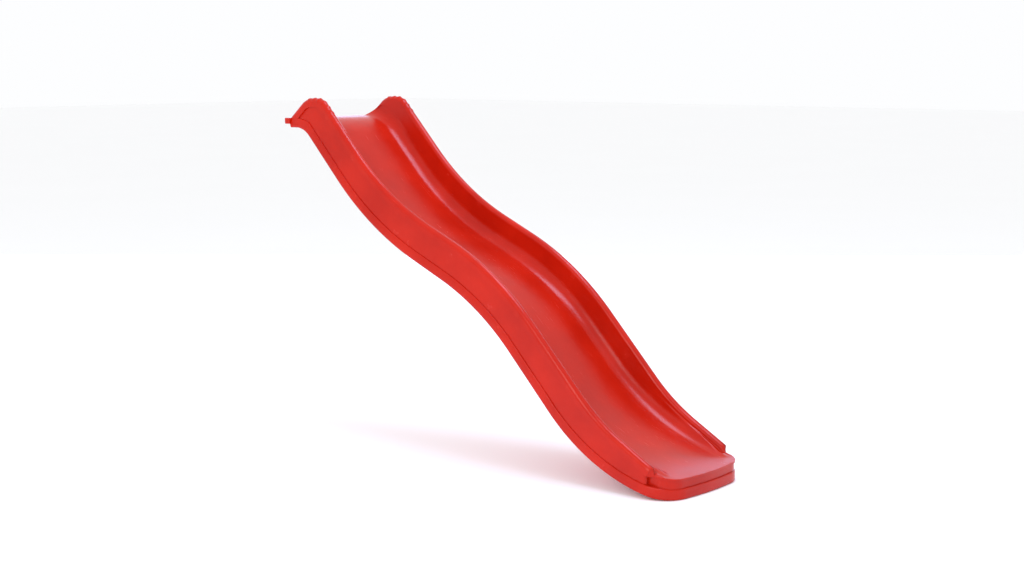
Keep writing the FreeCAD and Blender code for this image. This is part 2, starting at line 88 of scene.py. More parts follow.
TOWER_COUNT = 5
TOWER_OFFSET = 0.11
KISS_OFFSET = 0.06
BODY_DEPTH = 0.046
SLEEVE_PLACES = ((-0.9123, 0.15), (-0.9123, -0.15))
GRIP_MIDDLE = 0.21465       # along the rim from its buried start
GRIP_PITCH = 0.028
FLANGE_CORNER = 0.012
SKIN = 0.005                # of the flange, whose pocket is cut to it
HOLE_RADIUS = 0.0071
PLATE_HALF = 0.214          # the lip's plan, top plate
PLATE_CORNER = 0.074
PLATE_EDGE = 0.007
TONGUE_HALF = 0.210         # the wall under the plate
TONGUE_CORNER = 0.07
BAND_CORNER = 0.11
BOW_RADIUS = 1.1
DRAIN_X = 0.8583
DRAIN_RADIUS = 0.004
RIM_CHANNEL = 0.014         # from the rim's top to where a side wall ends inside it
BAND_FOOT_ROUND = 0.008
BAND_TOP_ROUND = 0.004
CONTACT_GAP = 0.0002        # keeps faces that rest on each other apart
SMOOTH_ANGLE = math.radians(35)


class WaveSlideSizes(bpy.types.PropertyGroup):
    """Sizes of the moulded details."""

    skin: FloatProperty(name="Skin", description="Thickness of the moulded walls", default=0.005,
                        min=0.002, max=0.008, unit="LENGTH")
    rim_width: FloatProperty(name="Rim width", description="Across one rolled rim", default=0.033,
                             min=0.02, max=0.034, unit="LENGTH")
    rib_count: IntProperty(name="Finger ribs", description="Ribs on each ear", default=6, min=0, max=8)
    rib_height: FloatProperty(name="Rib height", description="How far a rib stands out of the rim",
                              default=0.0025, min=0, max=0.0025, unit="LENGTH")
    rib_spread: FloatProperty(name="Rib spread", description="Half the width of one rib at its foot",
                              default=0.008, min=0.003, max=0.014, unit="LENGTH")
    end_round: FloatProperty(name="Rim end rounding", description="Rounding of the rims' blunt ends",
                             default=0.0035, min=0.001, max=0.006, unit="LENGTH")
    lip_round: FloatProperty(name="Lip rounding", description="Rounding of the lip's top edge",
                             default=0.003, min=0.001, max=0.005, unit="LENGTH")


class WaveSlideColours(bpy.types.PropertyGroup):
    """Colours of the finishes and the stage."""

    shell: FloatVectorProperty(name="Shell", description="Main red of the plastic", subtype="COLOR",
                               size=3, min=0, max=1, default=(0.52, 0.012, 0.0025))
    shell_deep: FloatVectorProperty(name="Shell, deep", description="Darker red of the slight mottling",
                                    subtype="COLOR", size=3, min=0, max=1, default=(0.43, 0.0085, 0.0018))
    scuff: FloatVectorProperty(name="Scuffs", description="Pale bloom of fine scratches",
                               subtype="COLOR", size=3, min=0, max=1, default=(0.60, 0.035, 0.022))
    zinc: FloatVectorProperty(name="Zinc", description="Plated steel", subtype="COLOR",
                              size=3, min=0, max=1, default=(0.56, 0.58, 0.60))
    floor: FloatVectorProperty(name="Floor", description="Pale studio floor", subtype="COLOR",
                               size=3, min=0, max=1, default=(0.975, 0.975, 0.975))


# --- lines ---------------------------------------------------------------------------
def trace(path, step):
    """Points along a path as (x, z, slope downhill in radians, length so far)."""
    corners, radii = path
    points = []
    start, so_far = Vector(corners[0]), 0.0
    for i, corner in enumerate(corners[1:]):
        corner = Vector(corner)
        before = (corner - start).normalized()
        cut, turn, radius = 0.0, 0.0, 0.0
        if i < len(radii):
            after = (Vector(corners[i + 2]) - corner).normalized()
            turn = math.atan2(before.x * after.y - before.y * after.x, before.dot(after))
            radius = radii[i]
            cut = radius * math.tan(abs(turn) / 2)
        last = corner - before * cut
        slope = math.atan2(-before.y, before.x)
        run = (last - start).length
        for k in range(max(1, math.ceil(run / step(start.x)))):
            at = start + before * run * k / max(1, math.ceil(run / step(start.x)))
            points.append((at.x, at.y, slope, so_far + (at - start).length))
        so_far += run
        start = last
        if radius:
            sign = math.copysign(1, turn)
            centre = last + Vector((-before.y, before.x)) * radius * sign
            arc = radius * abs(turn)
            count = max(2, math.ceil(arc / step(last.x)))
            for k in range(count):
                angle = turn * k / count
                at = centre + Matrix.Rotation(angle, 2) @ (last - centre)
                points.append((at.x, at.y, slope - angle, so_far + arc * k / count))
            so_far += arc
            start = centre + Matrix.Rotation(turn, 2) @ (last - centre)
    points.append((start.x, start.y, slope, so_far))
    return points


def upward(slope):
    """The direction square to a line of this slope."""
    return Vector((math.sin(slope), 0, math.cos(slope)))


def height_at(points, x):
    """Height and slope of a traced line above x."""
    for a, b in zip(points, points[1:]):
        if a[0] <= x <= b[0]:
            t = (x - a[0]) / (b[0] - a[0])
            return a[1] + (b[1] - a[1]) * t, a[2] + (b[2] - a[2]) * t
    end = points[0] if x < points[0][0] else points[-1]
    return end[1], end[2]


def crossing(points, foot, normal):
    """Where a line square to the bed meets the rim line."""
    side = [(p[0] - foot.x) * normal.z - (p[1] - foot.z) * normal.x for p in points]
    for i in range(len(points) - 1):
        if side[i] <= 0 < side[i + 1]:
            t = side[i] / (side[i] - side[i + 1])
            return tuple(a + (b - a) * t for a, b in zip(points[i], points[i + 1]))
    return None


# --- mesh helpers ---------------------------------------------------------------------
def first_column(bm, places):
    """Starts a sheet with one column of edges."""
    verts = [bm.verts.new(p) for p in places]
    for a, b in zip(verts, verts[1:]):
        bm.edges.new((a, b))
    return verts


def next_column(bm, column, places):
    """Extrudes a column of edges and puts the new column in its place."""
    edges = [bm.edges.get((a, b)) for a, b in zip(column, column[1:])]
    made = bmesh.ops.extrude_edge_only(bm, edges=edges)["geom"]
    fresh = {v for v in made if isinstance(v, bmesh.types.BMVert)}
    new = []
    for v in column:
        new.append(next(o for e in v.link_edges for o in (e.other_vert(v),) if o in fresh))
    for v, p in zip(new, places):
        v.co = p
    return new


def mirror_and_merge(bm):
    """Adds the other half and makes one sheet of the two."""
    geom = bm.verts[:] + bm.edges[:] + bm.faces[:]
    bmesh.ops.mirror(bm, geom=geom, matrix=Matrix.Identity(4), merge_dist=1e-5, axis="Y")
    bmesh.ops.remove_doubles(bm, verts=bm.verts, dist=2e-5)
    bmesh.ops.dissolve_degenerate(bm, edges=bm.edges, dist=1e-5)
    bmesh.ops.recalc_face_normals(bm, faces=bm.faces)


def turn_outward(bm, test, wanted):
    """Flips the whole sheet if the faces picked by test look away from wanted."""
    total = sum((f.normal * f.calc_area() for f in bm.faces if test(f.calc_center_median())), Vector())
    if total.dot(wanted) < 0:
        bmesh.ops.reverse_faces(bm, faces=bm.faces)


def new_piece(name, bm):
    mesh = bpy.data.meshes.new(name)
    bm.to_mesh(mesh)
    bm.free()
    piece = bpy.data.objects.new(name, mesh)
    bpy.context.scene.collection.objects.link(piece)
    set_smooth(mesh)
    return piece


def set_smooth(mesh):
    """Smooth faces, with the edges above the smooth angle kept sharp."""
    bm = bmesh.new()
    bm.from_mesh(mesh)
    for face in bm.faces:
        face.smooth = True
    for edge in bm.edges:
        if len(edge.link_faces) == 2:
            edge.smooth = edge.calc_face_angle(0) < SMOOTH_ANGLE
    bm.to_mesh(mesh)
    bm.free()


def apply_modifiers(piece):
    graph = bpy.context.evaluated_depsgraph_get()
    mesh = bpy.data.meshes.new_from_object(piece.evaluated_get(graph))
    old = piece.data
    piece.modifiers.clear()
    piece.data = mesh
    mesh.name = piece.name
    bpy.data.meshes.remove(old)
    set_smooth(mesh)


def cut_with(piece, tool):
    """Subtracts one tool object from a piece and removes the tool."""
    modifier = piece.modifiers.new("cut", "BOOLEAN")
    modifier.operation = "DIFFERENCE"
    modifier.solver = "EXACT"
    modifier.object = tool
    apply_modifiers(piece)
    bpy.data.meshes.remove(tool.data)


def turned(bm, profile, place, segments=40):
    """A solid of revolution: a profile of (radius, height) spun about Z, then put in place."""
    verts = [bm.verts.new((r, 0, z)) for r, z in profile]
    edges = [bm.edges.new(pair) for pair in zip(verts, verts[1:])]
    bmesh.ops.spin(bm, geom=verts + edges, cent=(0, 0, 0), axis=(0, 0, 1),
                   angle=2 * math.pi, steps=segments, use_merge=True)
    island = dict.fromkeys(verts)
    queue = list(verts)
    while queue:
        for edge in queue.pop().link_edges:
            for v in edge.verts:
                if v not in island:
                    island[v] = None
                    queue.append(v)
    bmesh.ops.remove_doubles(bm, verts=list(island), dist=1e-6)
    island = [v for v in island if v.is_valid]
    bmesh.ops.transform(bm, matrix=place, verts=island)
    faces = list(dict.fromkeys(f for v in island for f in v.link_faces))
    bmesh.ops.recalc_face_normals(bm, faces=faces)


def bed_place(points, length, y):
    """The matrix that stands a part on the bed at a length along it."""
    for a, b in zip(points, points[1:]):
        if a[3] <= length <= b[3]:
            t = (length - a[3]) / (b[3] - a[3])
            slope = a[2] + (b[2] - a[2]) * t
            spot = Vector((a[0] + (b[0] - a[0]) * t, y, a[1] + (b[1] - a[1]) * t))
            return Matrix.Translation(spot) @ Matrix.Rotation(slope, 4, "Y")
    raise ValueError("the place lies past the bed's end")


def fine(_x):
    """Step for the rim line, short enough for the finger ribs."""
    return 0.0015


def bevel(bm, edges, offset, segments=3, clamp=False):
    """Rounds edges, on request no wider than their neighbours allow."""
    bmesh.ops.bevel(bm, geom=edges, offset=offset, segments=segments, profile=0.5,
                    affect="EDGES", material=-1, clamp_overlap=clamp)


def block(bm, centre, size):
    """A box about a centre."""
    place = Matrix.Translation(centre) @ Matrix.Diagonal(size).to_4x4()
    bmesh.ops.create_cube(bm, size=1, matrix=place)


def cut_sleeve_holes(plate, height):
    """Bores a plate for the two deck sleeves."""
    reach = 0.03
    tools = bmesh.new()
    for x, y in SLEEVE_PLACES:
        turned(tools, [(0, -reach), (HOLE_RADIUS, -reach), (HOLE_RADIUS, reach), (0, reach)],
               Matrix.Translation((x, y, height)), 32)
    cut_with(plate, new_piece("hole_tool", tools))


# --- chute -----------------------------------------------------------------------------
FLOOR_STEPS = 4
FILLET_STEPS = 10
WALL_STEPS = 6
ARCH_STEPS = 16
LEG_STEPS = 4
LEVEL_END = -0.884          # where the level bed behind the ears ends
LEVEL_STEPS = 9
LIP_FADE = 0.05             # over which the wall's fillet dies out past the rims
LIP_GAP = 0.006             # from the rims' ends to the first column of the lip


def bed_step(x):
    """Step along the bed: short over the ears, long on the slopes."""
    if x < -0.88:
        return 0.004
    if x < -0.60:
        return 0.0016
    return 0.014 if x < 0.75 else 0.008


def rib_swell(length, sizes):
    """How far the rim stands out at a length along it."""
    first = GRIP_MIDDLE - GRIP_PITCH * (sizes.rib_count - 1) / 2
    nearest = min((abs(length - first - i * GRIP_PITCH) for i in range(sizes.rib_count)), default=1)
    if nearest >= sizes.rib_spread:
        return 0.0
    return sizes.rib_height * math.cos(nearest / sizes.rib_spread * math.pi / 2) ** 1.5


def hermite(p, q, p_run, q_run, t):
    """A point on the smooth curve from p to q with the given end directions."""
    a = 2 * t**3 - 3 * t**2 + 1
    b = t**3 - 2 * t**2 + t
    c = -2 * t**3 + 3 * t**2
    d = t**3 - t**2
    return p * a + p_run * b + q * c + q_run * d


def trough_column(foot, slope, rim, sizes):
    """One column of the chute, from the middle of the bed over the rim to its outer edge."""
    up = upward(slope)
    top = Vector((rim[0], 0, rim[1]))
    rim_up = upward(rim[2])
    radius = sizes.rim_width / 2
    swell = rib_swell(rim[3], sizes)
    side = Vector((0, 1, 0))
    column = [foot + side * FLOOR_HALF * k / FLOOR_STEPS for k in range(FLOOR_STEPS)]
    arch_foot = top - rim_up * radius
    wall_height = (arch_foot - foot).dot(up)
    full = FLOOR_FILLET * (1 - math.sin(DRAFT))
    fillet_height = min(max(wall_height, 0.0) * 0.85, full)
    fillet_angle = math.acos(1 - fillet_height / FLOOR_FILLET)
    for k in range(FILLET_STEPS + 1):
        angle = fillet_angle * k / FILLET_STEPS
        y = FLOOR_HALF + FLOOR_FILLET * math.sin(angle)
        column.append(foot + side * y + up * FLOOR_FILLET * (1 - math.cos(angle)))
    start = column[-1]
    end = arch_foot + side * (RIM_HALF - radius)
    chord = (end - start).length
    start_run = (side * math.cos(fillet_angle) + up * math.sin(fillet_angle)) * chord
    for k in range(1, WALL_STEPS):
        at = hermite(start, end, start_run, rim_up * chord, k / WALL_STEPS)
        column.append(at + up * max(0.0, -(at - foot).dot(up)))
    for k in range(ARCH_STEPS + 1):
        angle = math.pi * (1 - k / ARCH_STEPS)
        out = radius + swell * math.sin(angle)
        at = arch_foot + side * (RIM_HALF + out * math.cos(angle)) + rim_up * out * math.sin(angle)
        if k < ARCH_STEPS / 2:
            at += up * max(0.0, -(at - foot).dot(up))
        column.append(at)
    for k in range(1, LEG_STEPS + 1):
        share = k / LEG_STEPS
        column.append(arch_foot - rim_up * (RIM_DROP - radius) * share + side * (RIM_HALF + radius))
    for at in column[-LEG_STEPS - ARCH_STEPS // 2:]:
        if at.x < DECK_FACE:
            at.z = max(at.z, DECK + 0.0015)
    return column


def lip_outline(half, corner, front):
    """The lip's plan from its straight side round to the middle of its bowed front."""
    shoulder = front - LIP_BOW
    corners = [(0.70, half), (shoulder, half), (front + LIP_BOW / 2, 0), (shoulder, -half)]
    path = (corners, [corner, BOW_RADIUS])
    return [p for p in trace(path, lambda x: 0.008) if p[1] > -1e-6]


def walled_columns(bed, rim):
    """Where the columns with walls and rims stand, and the last one's bed length."""
    start_x = FLANGE_FRONT - 0.003
    columns = []
    for k in range(LEVEL_STEPS):
        t = k / LEVEL_STEPS
        x = start_x + (LEVEL_END - start_x) * t
        rim_x = rim[0][0] + (LEVEL_END - rim[0][0]) * t
        rim_z, rim_slope = height_at(rim, rim_x)
        length = next(p[3] for p in rim if p[0] >= rim_x - 1e-9)
        sunk = 0.002 if x < FLANGE_FRONT - 1e-4 else 0.0
        columns.append((Vector((x, 0, DECK_TOP - sunk)), 0.0, (rim_x, rim_z, rim_slope, length)))
    rim_stop = None
    for x, z, slope, length in bed:
        if x <= LEVEL_END:
            continue
        foot = Vector((x, 0, z))
        hit = crossing(rim, foot, upward(slope))
        if hit is None or hit[3] > rim[-1][3] - 0.009:
            break
        columns.append((foot, slope, hit))
        rim_stop = length
    for x, z, slope, length in trace(BED, lambda x: 0.0004):
        if length > rim_stop:
            if crossing(rim, Vector((x, 0, z)), upward(slope)) is None:
                break
            last, last_length = (Vector((x, 0, z)), slope, rim[-1]), length
    return columns + [last], last_length


def run_out(bm, inner, last, last_length, arch_start):
    """Carries the floor past the rims' ends to the lip and gives the first new column."""
    foot, slope = last[0], last[1]
    shape = [(v.co.y, (v.co - foot).dot(upward(slope))) for v in inner]
    wall_y, ledge = shape[arch_start]
    lip_column = None
    for x, z, slope, length in trace(BED, lambda x: 0.006):
        past = length - last_length
        if past < LIP_GAP:
            continue
        fade = 0.5 + 0.5 * math.cos(math.pi * min(past / LIP_FADE, 1))
        places = []
        for i, (y, height) in enumerate(shape):
            if i > arch_start:
                share = (y - wall_y) / (shape[-1][0] - wall_y)
                y = wall_y + share * (PLATE_HALF - wall_y)
                height = ledge * (0.5 + 0.5 * math.cos(math.pi * share))
            places.append(Vector((x, y, z)) + upward(slope) * height * fade)
        inner = next_column(bm, inner, places)
        lip_column = lip_column or inner
    return lip_column


def trim_lip(bm, limit):
    """Cuts the floor's end to the lip's rounded plan and gives the edges left along it."""
    outline = lip_outline(PLATE_HALF, PLATE_CORNER, LIP_FRONT - 0.002)
    first = next(i for i, p in enumerate(outline) if p[1] < PLATE_HALF - 1e-6)
    outline = outline[first - 1:]
    for a, b in zip(outline, outline[1:]):
        along = Vector((b[0] - a[0], b[1] - a[1], 0)).normalized()
        outward = Vector((-along.y, along.x, 0))
        region = [f for f in bm.faces if min(v.co.x for v in f.verts) > limit]
        geom = list(dict.fromkeys(g for f in region for g in (*f.verts, *f.edges, f)))
        bmesh.ops.bisect_plane(bm, geom=geom, dist=2e-5, plane_co=(a[0], a[1], 0),
                               plane_no=outward, clear_outer=True)
    return [e for e in bm.edges if e.is_boundary and min(v.co.x for v in e.verts) > limit
            and max(abs(v.co.y) for v in e.verts) > 1e-5]


def chute_sheet(sizes):
    """The upper moulding's outer surface, with its lip edge and closed rim ends."""
    bm = bmesh.new()
    columns, last_length = walled_columns(trace(BED, bed_step), trace(RIM, fine))
    column = first_column(bm, trough_column(*columns[0], sizes))
    for foot, slope, hit in columns[1:]:
        column = next_column(bm, column, trough_column(foot, slope, hit, sizes))

    arch_start = FLOOR_STEPS + FILLET_STEPS + 1 + WALL_STEPS - 1
    middle = arch_start + ARCH_STEPS // 2
    lip_column = run_out(bm, column[: middle + 1], columns[-1], last_length, arch_start)
    spot = lip_column[-1].co.copy()
    edge_loop = trim_lip(bm, spot.x - 1e-4)
    down = -upward(math.radians(9)) * PLATE_EDGE
    made = bmesh.ops.extrude_edge_only(bm, edges=edge_loop)["geom"]
    low = [g for g in made if isinstance(g, bmesh.types.BMVert)]
    bmesh.ops.translate(bm, verts=low, vec=down)
    corner = min(bm.verts, key=lambda v: (v.co - spot).length)
    corner_low = min(low, key=lambda v: (v.co - spot - down).length)
    bm.faces.new(column[middle:] + [corner_low, corner])

    rim_end = column[arch_start + 1:]
    end_edges = [bm.edges.get(pair) for pair in zip(rim_end, rim_end[1:])]
    bevel(bm, end_edges, sizes.end_round, clamp=True)
    bevel(bm, [e for e in edge_loop if e.is_valid], sizes.lip_round, clamp=True)
    mirror_and_merge(bm)
    turn_outward(bm, lambda c: abs(c.y) < FLOOR_HALF * 0.9, Vector((0.4, 0, 1)))
    return bm


def flange_plate():
    """The shallow box over the deck's edge, open below, with holes for the sleeves."""
    bm = bmesh.new()
    size = Vector((FLANGE_FRONT - FLANGE_BACK, 2 * FLANGE_HALF, DECK_TOP - DECK))
    middle = Vector(((FLANGE_FRONT + FLANGE_BACK) / 2, 0, (DECK_TOP + DECK) / 2))
    block(bm, middle, size)
    upright = [e for e in bm.edges if abs(e.verts[0].co.z - e.verts[1].co.z) > 0.01
               and e.verts[0].co.x < middle.x]
    bevel(bm, upright, FLANGE_CORNER, 6)
    level = [e for e in bm.edges if abs(e.verts[0].co.z - e.verts[1].co.z) < 1e-6
             and min(v.co.x for v in e.verts) < FLANGE_FRONT - 1e-4]
    bevel(bm, level, 0.003)
    bmesh.ops.recalc_face_normals(bm, faces=bm.faces)
    plate = new_piece("flange_plate", bm)
    tools = bmesh.new()
    block(tools, (FLANGE_FRONT, 0, DECK - SKIN + 0.0114), Vector((0.06, 0.399, 0.0227)))
    cut_with(plate, new_piece("pocket_tool", tools))
    cut_sleeve_holes(plate, DECK_TOP)
    return plate


def join_into(piece, other):
    """Adds another object's mesh to a piece and removes that object."""
    bm = bmesh.new()
    bm.from_mesh(piece.data)
    bm.from_mesh(other.data)
    bm.to_mesh(piece.data)
    bm.free()
    bpy.data.meshes.remove(other.data)


def thicken(piece, thickness):
    """Gives a sheet its skin, inward from the outer surface."""
    wall = piece.modifiers.new("skin", "SOLIDIFY")
    wall.thickness = thickness
    wall.offset = -1
    wall.use_rim = True
    apply_modifiers(piece)


def finish_moulding(piece, extra):
    """Joins the last plate on and puts the plastic finish on the piece."""
    join_into(piece, extra)
    set_smooth(piece.data)
    piece.data.materials.clear()
    piece.data.materials.append(shell_material())


class WAVESLIDE_OT_chute(bpy.types.Operator):
    """Builds the upper moulding: bed, walls, rolled rims, ears, flange and lip"""

    bl_idname = "wave_slide.chute"
    bl_label = "Chute"

    def execute(self, context):
        sizes = context.scene.wave_slide_sizes
        piece = new_piece("chute", chute_sheet(sizes))
        thicken(piece, sizes.skin)
        finish_moulding(piece, flange_plate())
        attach(piece, "root")
        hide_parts("chute_shell")
        return {"FINISHED"}


# --- underbody ---------------------------------------------------------------------------
FLAT_STEPS = 3
FOOT_STEPS = 5
TOP_STEPS = 4
SIDE_STEPS = 8


def body_section():
    """Rows of the floor and band as (inset from the band's face, height, share of the floor)."""
    rows = [(None, 0.0, k / FLAT_STEPS) for k in range(FLAT_STEPS)]
    radius = BAND_FOOT_ROUND
    for k in range(FOOT_STEPS + 1):
        angle = math.pi / 2 * k / FOOT_STEPS
        rows.append((radius * (1 - math.sin(angle)), radius * (1 - math.cos(angle)), None))
    rows.append((0.0, DECK - CONTACT_GAP - DECK_FOOT, None))
    radius = BAND_TOP_ROUND
    for k in range(TOP_STEPS + 1):
        angle = math.pi / 2 * k / TOP_STEPS
        height = BAND_HEIGHT - radius * (1 - math.sin(angle))
        rows.append((radius * (1 - math.cos(angle)), height, None))
    return rows


def body_column(outer, outward, inner, spine, bottom, wall_top):
    """One column of the lower moulding: floor, raised band, its ledge and the wall above it."""
    places = []
    for inset, height, share in body_section():
        if inset is None:
            at = spine.lerp(outer - outward * BAND_FOOT_ROUND, share)
        else:
            at = outer - outward * inset
        level, slope = height_at(bottom, at.x)
        places.append(Vector((at.x, at.y, max(level, 0.0) + height / math.cos(slope))))
    level, slope = height_at(bottom, inner.x)
    foot = max(level, 0.0) + BAND_HEIGHT / math.cos(slope)
    wall_top = max(wall_top, foot + 0.001)
    for k in range(SIDE_STEPS + 1):
        share = k / SIDE_STEPS
        places.append(Vector((inner.x, inner.y, foot + (wall_top - foot) * share)))
    return places


def lip_columns(lip_from):
    """Round the lip: (band place, its outward direction, wall place) from one side to the middle."""
    tongue = [(lip_from, SIDE_FACE), (WALL_END, SIDE_FACE), (WALL_END, TONGUE_HALF)]
    end_round = trace((tongue, [0.009]), lambda x: 0.004)
    front = lip_outline(TONGUE_HALF, TONGUE_CORNER, LIP_FRONT - 0.006)
    front = [p for p in front if p[0] > WALL_END]
    inner = [Vector((p[0], p[1], 0)) for p in end_round + front]
    outline = [p for p in lip_outline(BAND_FACE, BAND_CORNER, LIP_FRONT) if p[0] > lip_from + 1e-6]
    outer = [(Vector((p[0], p[1], 0)), Vector((math.sin(p[2]), math.cos(p[2]), 0))) for p in outline]
    split = len(end_round)
    ahead = next(i for i, (p, n) in enumerate(outer) if p.x > WALL_END + 0.006)
    lead = [resample(outer[: ahead + 1], k / (split - 1)) for k in range(split)]
    tail = [resample(outer[ahead:], (k + 1) / len(front)) for k in range(len(front))]
    return [(*band, wall) for band, wall in zip(lead + tail, inner)], split


def body_sheet():
    """The lower moulding's outer surface."""
    bm = bmesh.new()
    bottom = trace(BOTTOM, lambda x: 0.004)
    rim = trace(RIM, fine)
    bed = trace(BED, lambda x: 0.004)
    side = Vector((0, 1, 0))
    xs = [FLANGE_FRONT]
    lip_from = WALL_END - 0.06
    while xs[-1] < lip_from:
        x = xs[-1]
        xs.append(min(x + (0.006 if x < -0.7 else 0.013), lip_from))
    column = None
    for x in xs:
        level, slope = height_at(rim, x)
        top = level - RIM_CHANNEL / math.cos(slope)
        places = body_column(Vector((x, BAND_FACE, 0)), side, Vector((x, SIDE_FACE, 0)),
                             Vector((x, 0, 0)), bottom, top)
        column = next_column(bm, column, places) if column else first_column(bm, places)
        if x == FLANGE_FRONT:
            back = column[: FLAT_STEPS + FOOT_STEPS + 2]

    rest, split = lip_columns(lip_from)
    spine_end = 0.86
    for k, (place, outward, at) in enumerate(rest):
        if k == 0:
            continue
        level, slope = height_at(rim, at.x)
        top = level - RIM_CHANNEL / math.cos(slope)
        if k >= split - 1:
            level, slope = height_at(bed, at.x)
            top = level - 0.0073 / math.cos(slope)
        share = k / (len(rest) - 1)
        spine = Vector((lip_from + (spine_end - lip_from) * share, 0, 0))
        column = next_column(bm, column, body_column(place, outward, at, spine, bottom, top))
    for v in column:
        v.co.y = 0.0

    # the back end that stands against the deck
    back = next_column(bm, back, [Vector((DECK_FACE, v.co.y, v.co.z)) for v in back])
    under = back[:-1]
    next_column(bm, under, [Vector((DECK_FACE, v.co.y, DECK - CONTACT_GAP)) for v in under])
    mirror_and_merge(bm)
    turn_outward(bm, lambda c: c.y > SIDE_FACE - 0.0001, Vector((0, 1, 0)))
    return bm


def resample(chain, share):
    """A place and outward direction at a share of the way along a chain."""
    lengths = [0.0]
    for (a, _), (b, _) in zip(chain, chain[1:]):
        lengths.append(lengths[-1] + (b - a).length)
    goal = share * lengths[-1]
    for i in range(len(chain) - 1):
        if goal <= lengths[i + 1] + 1e-9:
            t = (goal - lengths[i]) / max(lengths[i + 1] - lengths[i], 1e-9)
            place = chain[i][0].lerp(chain[i + 1][0], t)
            return place, chain[i][1].lerp(chain[i + 1][1], t).normalized()
    return chain[-1]


def cut_recesses(piece):
    """Cap seats, prop cones and drain holes in the underside."""
    bed = trace(BED, lambda x: 0.002)
    tools = bmesh.new()
    base = -BODY_DEPTH
    seat = [(0, base - 0.006), (0.0212, base - 0.006), (0.0212, base - 0.0002), (0.02, base + 0.001),
            (0.02, base + 0.0031), (0, base + 0.0031)]
    mouth = [(0, base - 0.006), (0.0245, base - 0.006), (0.0235, base - 0.0002), (0.022, base + 0.0015),
             (0.0203, base + 0.0052), (0, base + 0.0052)]
    cups = bmesh.new()
    cup = [(0.0203, base + 0.0045), (0.0106, -0.0095), (0, -0.0095), (0, -0.0055), (0.014, -0.0055),
           (0.0245, base + 0.0045), (0.0203, base + 0.0045)]
    for i in range(TOWER_COUNT):
        for y in (-TOWER_OFFSET, TOWER_OFFSET):
            turned(tools, seat, bed_place(bed, TOWER_FIRST + i * TOWER_PITCH, y))
    for i in range(TOWER_COUNT - 1):
        for y in (-KISS_OFFSET, KISS_OFFSET):
            place = bed_place(bed, TOWER_FIRST + (i + 0.5) * TOWER_PITCH, y)
            turned(tools, mouth, place)
            turned(cups, cup, place)
    for y in (-KISS_OFFSET, KISS_OFFSET):
        turned(tools, [(0, -0.03), (DRAIN_RADIUS, -0.03), (DRAIN_RADIUS, 0.03), (0, 0.03)],
               Matrix.Translation((DRAIN_X, y, 0)), 24)
    cut_with(piece, new_piece("recess_tools", tools))
    join_into(piece, new_piece("prop_cones", cups))


def seat_plate():
    """The strip of skin that closes the flange from below, round the two sleeves."""
    bm = bmesh.new()
    block(bm, (-0.9086, 0, DECK + SKIN / 2), Vector((0.0292, 0.3978, SKIN)))
    bevel(bm, bm.edges[:], 0.0008, 2)
    plate = new_piece("seat_plate", bm)
    cut_sleeve_holes(plate, DECK)
    return plate


class WAVESLIDE_OT_underbody(bpy.types.Operator):
    """Builds the lower moulding: sides, raised band, underside, tongue and their recesses"""

    bl_idname = "wave_slide.underbody"
    bl_label = "Underbody"

    def execute(self, context):
        sizes = context.scene.wave_slide_sizes
        piece = new_piece("underbody", body_sheet())
        thicken(piece, sizes.skin)
        cut_recesses(piece)
        finish_moulding(piece, seat_plate())
        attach(piece, "root")
        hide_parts("under_shell")
        return {"FINISHED"}


# --- finishes ---------------------------------------------------------------------------
def add_node(tree, kind, **inputs):
    """A node with its input values set."""
    node = tree.nodes.new(kind)
    for name, value in inputs.items():
        node.inputs[name.replace("_", " ")].default_value = value
    return node


